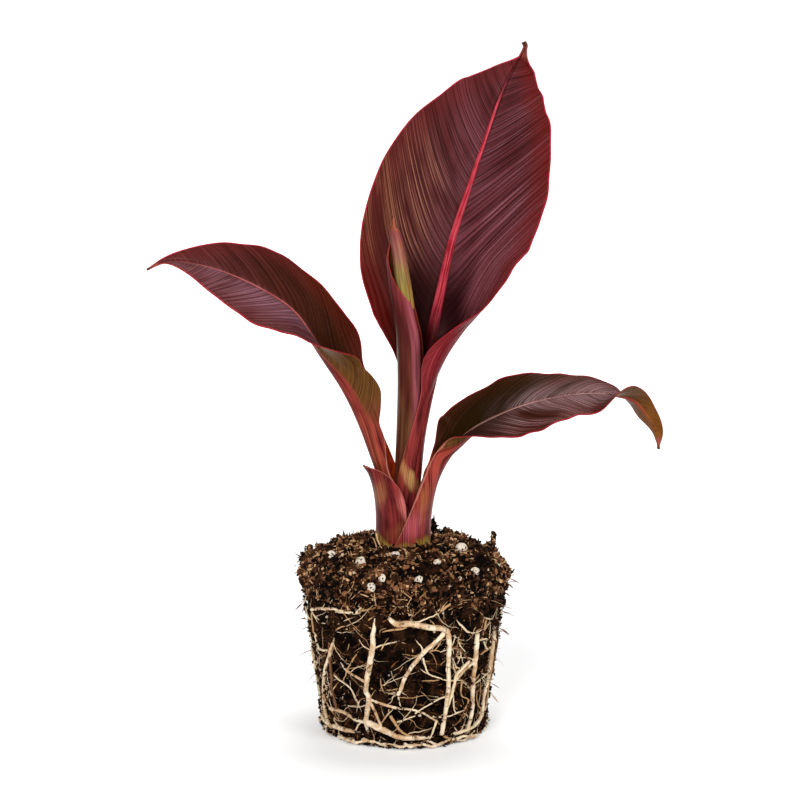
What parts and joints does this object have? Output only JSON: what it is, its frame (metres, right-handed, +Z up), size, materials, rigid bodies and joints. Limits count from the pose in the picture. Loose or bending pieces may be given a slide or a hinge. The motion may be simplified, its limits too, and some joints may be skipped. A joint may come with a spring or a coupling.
{
  "type": "young red abyssinian banana plant on its root ball",
  "caption": "Young red-leaved abyssinian banana out of its pot: broad arching leaves and a rolled new leaf rise from a short sheathed stem on a tapered root ball wrapped in pale roots.",
  "frame": {"origin": "middle of the root ball's flat underside, at ground level", "axes": "+Z up along the stem, -Y towards the viewer of the picture, +X to the viewer's right"},
  "size_m": [0.2173, 0.0898, 0.2951],
  "materials": {
    "peat": "dark moist peat with perlite grains",
    "roots": "pale cream root skin with brown rings",
    "leaf": "satin maroon leaf with a pink midrib",
    "rolled_leaf": "satin maroon rolled leaf with a yellow-green inner tip",
    "old_sheath": "satin red-brown sheath with a pale dry edge"
  },
  "bodies": {
    "root": {"root_ball": "peat", "roots_front_left": "roots", "roots_front_middle": "roots", "roots_front_right": "roots", "roots_right": "roots", "roots_left": "roots", "roots_upper": "roots", "roots_back_1": "roots", "roots_back_2": "roots", "roots_back_3": "roots", "roots_back_4": "roots", "roots_back_5": "roots", "roots_back_6": "roots", "spear_wrap": "rolled_leaf", "spear_tip": "rolled_leaf", "back_stalk": "leaf", "back_blade": "leaf", "left_stalk": "leaf", "left_blade": "leaf", "left_tip": "leaf", "right_stalk": "leaf", "right_blade": "leaf", "right_tip": "leaf", "scale_sheath": "old_sheath"}
  },
  "joints": []
}
